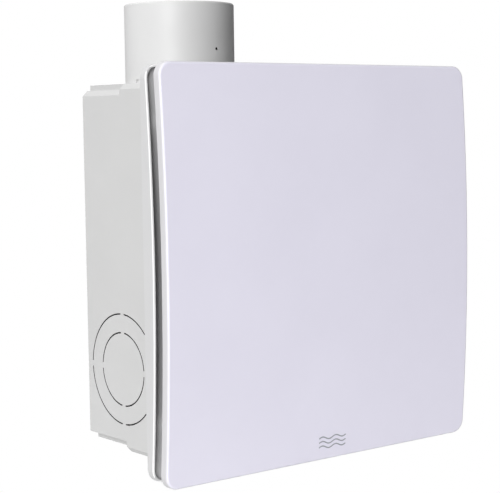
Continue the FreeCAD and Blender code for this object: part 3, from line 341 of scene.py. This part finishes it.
MATERIALS = {
    "casing_plastic": casing_plastic(),
    "panel_plastic": panel_plastic(),
    "trim_plastic": trim_plastic(),
    "spigot_plastic": spigot_plastic(),
    "foam": bead_foam("foam_look", (0.075, 0.078, 0.085), (0.03, 0.03, 0.034)),
    "seal_foam": cell_foam("seal_foam_look", (0.06, 0.06, 0.062), (0.02, 0.02, 0.02)),
    "black_plastic": moulded_plastic("black_plastic_look", (0.03, 0.03, 0.033), (0.02, 0.02, 0.022), 0.45),
    "rubber": moulded_plastic("rubber_look", (0.035, 0.035, 0.036), (0.02, 0.02, 0.02), 0.72),
    "steel": metal("steel_look", (0.62, 0.62, 0.63), 0.28, (1.0, 0.05, 1.0)),
    "zinc_screw": metal("zinc_screw_look", (0.66, 0.66, 0.62), 0.36),
    "membrane": felt("membrane_look", (0.80, 0.82, 0.80), (0.70, 0.73, 0.72)),
    "core_frame_plastic": moulded_plastic("core_frame_look", (0.28, 0.31, 0.34), (0.25, 0.28, 0.31), 0.5),
    "strap_web": woven("strap_web_look", (0.05, 0.075, 0.15), (0.015, 0.02, 0.05), 320.0),
    "filter_frame_plastic": moulded_plastic("filter_frame_look", (0.48, 0.52, 0.56), (0.44, 0.48, 0.52), 0.5),
    "filter_felt": felt("filter_felt_look", (0.82, 0.82, 0.78), (0.66, 0.66, 0.62)),
    "housing_plastic": moulded_plastic("housing_plastic_look", (0.09, 0.095, 0.10), (0.07, 0.075, 0.08), 0.48),
    "circuit_board": circuit("circuit_board_look"),
    "terminal_plastic": moulded_plastic("terminal_plastic_look", (0.62, 0.66, 0.62), (0.57, 0.60, 0.57), 0.5),
    "button_plastic": moulded_plastic("button_plastic_look", (0.36, 0.38, 0.41), (0.32, 0.34, 0.37), 0.42),
    "light_plastic": glowing("light_plastic_look", (0.35, 0.85, 0.45)),
    "motor_metal": metal("motor_metal_look", (0.42, 0.26, 0.18), 0.45),
}


def dress_cad_nodes():
    """Gives every CAD node the material of its slot in the record."""
    for row in frame["record"]["subparts"]:
        node = NODES[row["node"]]
        node.data.materials.clear()
        node.data.materials.append(MATERIALS[row["material_slot"]])


# ---------------------------------------------------------------- detail pieces


def new_piece(name, vertices, faces, slot_name, body, smooth=True):
    """A mesh that takes its finish from a slot of the record and moves with a CAD body."""
    mesh = bpy.data.meshes.new(name)
    mesh.from_pydata(vertices, [], faces)
    work = bmesh.new()
    work.from_mesh(mesh)
    bmesh.ops.recalc_face_normals(work, faces=work.faces)
    work.to_mesh(mesh)
    work.free()
    for face in mesh.polygons:
        face.use_smooth = smooth
    mesh.materials.append(MATERIALS[slot_name])
    piece = bpy.data.objects.new(name, mesh)
    bpy.context.scene.collection.objects.link(piece)
    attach(piece, body)
    return piece


class Shape:
    """Vertices and faces gathered from several parts."""

    def __init__(self):
        self.vertices = []
        self.faces = []

    def rings(self, rings, closed=False):
        """Joins equal rings of points one after the other; an open row gets flat faces at its ends."""
        start, size, count = len(self.vertices), len(rings[0]), len(rings)
        for ring in rings:
            self.vertices.extend(ring)
        for i in range(count if closed else count - 1):
            here, there = start + i * size, start + (i + 1) % count * size
            for j in range(size):
                k = (j + 1) % size
                self.faces.append((here + j, here + k, there + k, there + j))
        if not closed:
            self.faces.append(tuple(start + j for j in reversed(range(size))))
            self.faces.append(tuple(start + (count - 1) * size + j for j in range(size)))

    def strip(self, path, section, closed=False):
        """Carries a section of (across, towards the room) pairs along a path of points."""
        rings, last = [], len(path) - 1
        for i, point in enumerate(path):
            before = path[i - 1] if (i or closed) else point
            after = path[(i + 1) % len(path)] if (i < last or closed) else point
            across = (after - before).cross(ROOM).normalized()
            rings.append([point + across * u + ROOM * v for u, v in section])
        self.rings(rings, closed)


def bead(width, height):
    """A low rounded bead that stands on a surface, a little sunk into it."""
    half = width / 2
    return [(-half, -0.0002), (half, -0.0002), (half, height * 0.4), (half * 0.6, height),
            (-half * 0.6, height), (-half, height * 0.4)]


def arc_points(centre, radius, start, end, steps, depth):
    """Points on a circle that faces the room; angles in turns."""
    points = []
    for i in range(steps + 1):
        turn = 2 * math.pi * (start + (end - start) * i / steps)
        points.append(Vector((centre[0] + radius * math.cos(turn), depth, centre[1] + radius * math.sin(turn))))
    return points


def panel_surface(z, crown, half):
    """The bowed panel's front at a height, as a y coordinate; crown is its foremost y."""
    rise = 0.0059
    bend = half * half / (2 * rise) + rise / 2
    return crown + bend - math.sqrt(bend * bend - z * z)


def build_airflow_mark():
    """Three low moulded waves near the panel's bottom edge: a plain sign for moving air."""
    shape = Shape()
    low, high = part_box("front_panel")
    centre_x, centre_z = 0.0044, low.z + 0.013
    length, pitch, swing = 0.026, 0.0034, 0.0010
    for row in (-1, 0, 1):
        path = []
        for i in range(49):
            share = i / 48
            x = centre_x + (share - 0.5) * length
            z = centre_z + row * pitch + swing * math.sin(share * 4 * math.pi)
            path.append(Vector((x, panel_surface(z, low.y, high.x), z)))
        shape.strip(path, bead(0.0009, 0.00015))
    new_piece("panel_airflow_mark", shape.vertices, shape.faces, "button_plastic", "panel")


def build_button_signs():
    """Raised signs on the control cover: a small fan above its button, a pleated filter below the other."""
    shape = Shape()
    depth, centre_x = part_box("control_cover")[0].y, middle("control_cover").x
    line = bead(0.00045, 0.00012)
    fan = (centre_x, middle("speed_button").z + 0.0094)
    shape.strip(arc_points(fan, 0.0025, 0.0, 1.0, 32, depth)[:-1], line, closed=True)
    for blade in range(3):
        turn = 2 * math.pi * blade / 3 + 0.4
        hub = (fan[0] + 0.0011 * math.cos(turn), fan[1] + 0.0011 * math.sin(turn))
        shape.strip(arc_points(hub, 0.0008, blade / 3, blade / 3 + 0.45, 10, depth), line)
    filter_z, tall, half = middle("filter_reset_button").z - 0.0095, 0.0019, 0.0029
    corners = [(-half, -tall), (half, -tall), (half, tall), (-half, tall)]
    frame_path = []
    for i, (x, z) in enumerate(corners):
        next_x, next_z = corners[(i + 1) % 4]
        for share in (0.02, 0.5, 0.98):
            across, up = x + (next_x - x) * share, z + (next_z - z) * share
            frame_path.append(Vector((centre_x + across, depth, filter_z + up)))
    shape.strip(frame_path, line, closed=True)
    zigzag = [Vector((centre_x - 0.0022 + 0.00055 * i, depth, filter_z + (0.0010 if i % 2 else -0.0010)))
              for i in range(9)]
    shape.strip(zigzag, bead(0.00035, 0.0001))
    new_piece("control_cover_signs", shape.vertices, shape.faces, "terminal_plastic", "casing", smooth=False)


def strap_section(width, thick):
    """A webbing's section with rolled edges, around its middle line."""
    half, roll = width / 2, thick / 2
    turns = (-1.57, -0.9, -0.3, 0.3, 0.9, 1.57)
    right = [(half - roll + roll * math.cos(turn), roll * math.sin(turn)) for turn in turns]
    left = [(-u, v) for u, v in reversed(right)]
    return right + left


def build_pull_strap():
    """A webbing band that arches a little off the core's recess, with hemmed and box-stitched ends."""
    band = Shape()
    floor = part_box("core_pull_strap")[1].y
    thick, reach, hem = 0.0009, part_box("core_pull_strap")[1].x - 0.0002, 0.0085
    path = []
    for i in range(57):
        x = -reach + 2 * reach * i / 56
        lift = max(0.0, 1.0 - (abs(x) / (reach - hem)) ** 2) ** 1.5
        path.append(Vector((x, floor - 0.00095 - 0.00088 * lift, 0.0)))
    band.strip(path, strap_section(0.0154, thick))
    for side in (-1, 1):
        under = [Vector((side * (reach - hem * (1 - i / 12)), floor - 0.00045, 0.0)) for i in range(13)]
        band.strip(under, strap_section(0.0150, 0.0008))
    strap = new_piece("pull_strap_webbing", band.vertices, band.faces, "strap_web", "core")
    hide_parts("core_pull_strap")

    thread = Shape()
    wide, thin = 0.00018, 0.0001
    thread_section = [(wide, -thin), (wide, thin), (-wide, thin), (-wide, -thin)]
    for side in (-1, 1):
        near, far, half = side * (reach - hem + 0.0012), side * (reach - 0.0016), 0.0058
        lines = [((near, -half), (far, -half)), ((far, -half), (far, half)), ((far, half), (near, half)),
                 ((near, half), (near, -half)), ((near, -half), (far, half)), ((near, half), (far, -half))]
        for start, end in lines:
            start, end = Vector(start), Vector(end)
            count = max(2, round((end - start).length / 0.0017))
            for i in range(count):
                first, last = start.lerp(end, (i + 0.15) / count), start.lerp(end, (i + 0.85) / count)
                dash = [first.lerp(last, share) for share in (0.0, 0.3, 0.7, 1.0)]
                rise = (0.0, 0.00016, 0.00016, 0.0)
                path = [Vector((p.x, floor - 0.0014 - up, p.y)) for p, up in zip(dash, rise)]
                thread.strip(path, thread_section)
    new_piece("pull_strap_stitches", thread.vertices, thread.faces, "filter_felt", "core")


def blade_rings(angle):
    """One twisted, cambered fan blade about Z, from the hub outwards."""
    root, span, middle_height = 0.0162, 0.0200, 0.0165
    rings = []
    for step in range(9):
        share = step / 8
        radius = root + share * span
        chord = 0.0185 + 0.0050 * math.sin(share * 2.2)
        pitch = math.radians(52 - 22 * share)
        thick = 0.0019 - 0.0009 * share
        lean = 0.30 * share * share
        ring = []
        for side in (1, -1):
            marks = range(0, 11) if side > 0 else range(9, 0, -1)
            for mark in marks:
                along = mark / 10
                body = math.sqrt(max(along, 0.0)) * (1 - along) * 1.9 + 0.08
                across = 0.09 * chord * 4 * along * (1 - along) + side * thick * 0.5 * min(body, 1.0)
                run = (along - 0.5) * chord
                sideways = run * math.cos(pitch) - across * math.sin(pitch)
                height = run * math.sin(pitch) + across * math.cos(pitch)
                turn = angle + lean + sideways / radius
                ring.append(Vector((radius * math.cos(turn), radius * math.sin(turn), middle_height + height)))
        rings.append(ring)
    return rings


def build_impeller(name, node, body, inlet, turned):
    """Hub cup with a rounded nose and seven twisted blades; turned lays the axis along the depth.

    inlet is the middle of the fan's inlet side, from which the hub's outline is measured.
    """
    shape = Shape()
    outline = [(0.0001, 0.0040), (0.0120, 0.0040), (0.0152, 0.0045), (0.0166, 0.0057), (0.0170, 0.0075),
               (0.0170, 0.0290), (0.0145, 0.0290), (0.0145, 0.0070), (0.0016, 0.0070), (0.0016, 0.0056),
               (0.0001, 0.0056)]
    sides = 64
    rings = []
    for i in range(sides):
        turn = 2 * math.pi * i / sides
        rings.append([Vector((r * math.cos(turn), r * math.sin(turn), z)) for r, z in outline])
    shape.rings(rings, closed=True)
    for blade in range(7):
        shape.rings(blade_rings(2 * math.pi * blade / 7))
    if turned:
        vertices = [Vector((v.x, -v.z, v.y)) + inlet for v in shape.vertices]
    else:
        vertices = [v + inlet for v in shape.vertices]
    wheel = new_piece(name, vertices, shape.faces, "black_plastic", body)
    edges = wheel.modifiers.new("edges", "EDGE_SPLIT")
    edges.split_angle = math.radians(35)
    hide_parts(node)


def build_impellers():
    low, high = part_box("exhaust_fan_frame")
    inlet = Vector(((low.x + high.x) / 2, (low.y + high.y) / 2, low.z))
    build_impeller("exhaust_fan_wheel", "exhaust_impeller", "exhaust_rotor", inlet, turned=False)
    low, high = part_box("supply_fan_frame")
    inlet = Vector(((low.x + high.x) / 2, high.y, (low.z + high.z) / 2))
    build_impeller("supply_fan_wheel", "supply_impeller", "supply_rotor", inlet, turned=True)


# ---------------------------------------------------------------- studio

# towards the brightest part of the sky, and its brightness on the far and on the near side
SKY_TOWARDS = (0.0, 0.95, 0.30)
SKY_RANGE = (0.08, 0.50)
# name: place, (width, height) and watts of each soft box
LIGHTS = {
    "key_left": ((-4.24, -2.86, 1.43), (2.56, 3.52), 330.0),
    "top_soft": ((-0.3, 0.5, 1.8), (1.4, 1.4), 20.0),
}


def build_floor():
    """A plain pale floor well below the unit."""
    mesh = bpy.data.meshes.new("studio_floor")
    height, radius, sides = CAD_BOX[0][2] - 0.40, 1.15, 96
    turns = [2 * math.pi * i / sides for i in range(sides)]
    mesh.from_pydata([(radius * math.cos(t), radius * math.sin(t), height) for t in turns], [], [range(sides)])
    floor = bpy.data.objects.new("studio_floor", mesh)
    bpy.context.scene.collection.objects.link(floor)
    mat = Shader("studio_floor_look")
    tint = mat.blend_colors(mat.spread(mat.noise(2.0), 0.0, 1.0), (0.90, 0.90, 0.90), (0.92, 0.92, 0.92))
    mat.link(tint, mat.surface.inputs["Base Color"])
    mat.plain(Roughness=0.9, Specular_IOR_Level=0.1)
    mesh.materials.append(mat.material)


def area_light(name, place, target, size, power):
    """A rectangular soft box that points from its place to the target."""
    data = bpy.data.lights.new(name, "AREA")
    data.shape = "RECTANGLE"
    data.size, data.size_y = size
    data.energy = power
    lamp = bpy.data.objects.new(name, data)
    lamp.location = place
    lamp.rotation_euler = (Vector(target) - Vector(place)).to_track_quat("-Z", "Y").to_euler()
    bpy.context.scene.collection.objects.link(lamp)


def sky_part(tree, facing, low, high):
    """How bright the sky is towards one direction: low at the opposite side, high in the direction itself."""
    place = tree.nodes.new("ShaderNodeTexCoord").outputs["Generated"]
    dot = tree.nodes.new("ShaderNodeVectorMath")
    dot.operation = "DOT_PRODUCT"
    tree.links.new(place, dot.inputs[0])
    dot.inputs[1].default_value = Vector(facing).normalized()
    span = tree.nodes.new("ShaderNodeMapRange")
    tree.links.new(dot.outputs["Value"], span.inputs["Value"])
    for name, number in (("From Min", -0.7), ("From Max", 0.9), ("To Min", low), ("To Max", high)):
        span.inputs[name].default_value = number
    return span.outputs[0]


def build_light():
    """A soft box at the left and one above, under a dim sky; the camera sees a white backdrop."""
    scene = bpy.context.scene
    scene.view_settings.view_transform = "Standard"
    world = bpy.data.worlds.new("studio_world")
    world.use_nodes = True
    tree = world.node_tree
    soft = tree.nodes["Background"]
    tree.links.new(sky_part(tree, SKY_TOWARDS, *SKY_RANGE), soft.inputs["Strength"])
    white = tree.nodes.new("ShaderNodeBackground")
    for background in (soft, white):
        background.inputs["Color"].default_value = (1.0, 1.0, 1.0, 1.0)
    choice = tree.nodes.new("ShaderNodeMixShader")
    tree.links.new(tree.nodes.new("ShaderNodeLightPath").outputs["Is Camera Ray"], choice.inputs[0])
    tree.links.new(soft.outputs[0], choice.inputs[1])
    tree.links.new(white.outputs[0], choice.inputs[2])
    tree.links.new(choice.outputs[0], tree.nodes["World Output"].inputs["Surface"])
    scene.world = world
    for name, (place, size, power) in LIGHTS.items():
        area_light(name, place, (0, 0, 0.02), size, power)


def build_camera():
    """Camera in front of the unit's left side and a little above it, looking slightly down."""
    yaw, pitch, roll = math.radians(38.35), math.radians(-4.94), math.radians(-0.79)
    distance, shift_right, shift_up = 1.048, -0.0548, 0.0133
    sensor, lens = 36.0, 103.32
    target = Vector((0.0, -0.119, 0.0))
    forward = Vector((math.sin(yaw) * math.cos(pitch), math.cos(yaw) * math.cos(pitch), math.sin(pitch)))
    level = Vector((math.cos(yaw), -math.sin(yaw), 0.0))
    upward = level.cross(forward)
    right = level * math.cos(roll) + upward * math.sin(roll)
    above = upward * math.cos(roll) - level * math.sin(roll)
    place = target - forward * distance + level * shift_right + upward * shift_up
    data = bpy.data.cameras.new("studio_camera")
    data.sensor_width = sensor
    data.lens = lens
    camera = bpy.data.objects.new("studio_camera", data)
    basis = Matrix((right, above, -forward)).transposed()
    camera.matrix_world = Matrix.Translation(place) @ basis.to_4x4()
    bpy.context.scene.collection.objects.link(camera)
    bpy.context.scene.camera = camera


build_camera()
build_light()
build_floor()
dress_cad_nodes()
build_airflow_mark()
build_button_signs()
build_pull_strap()
build_impellers()
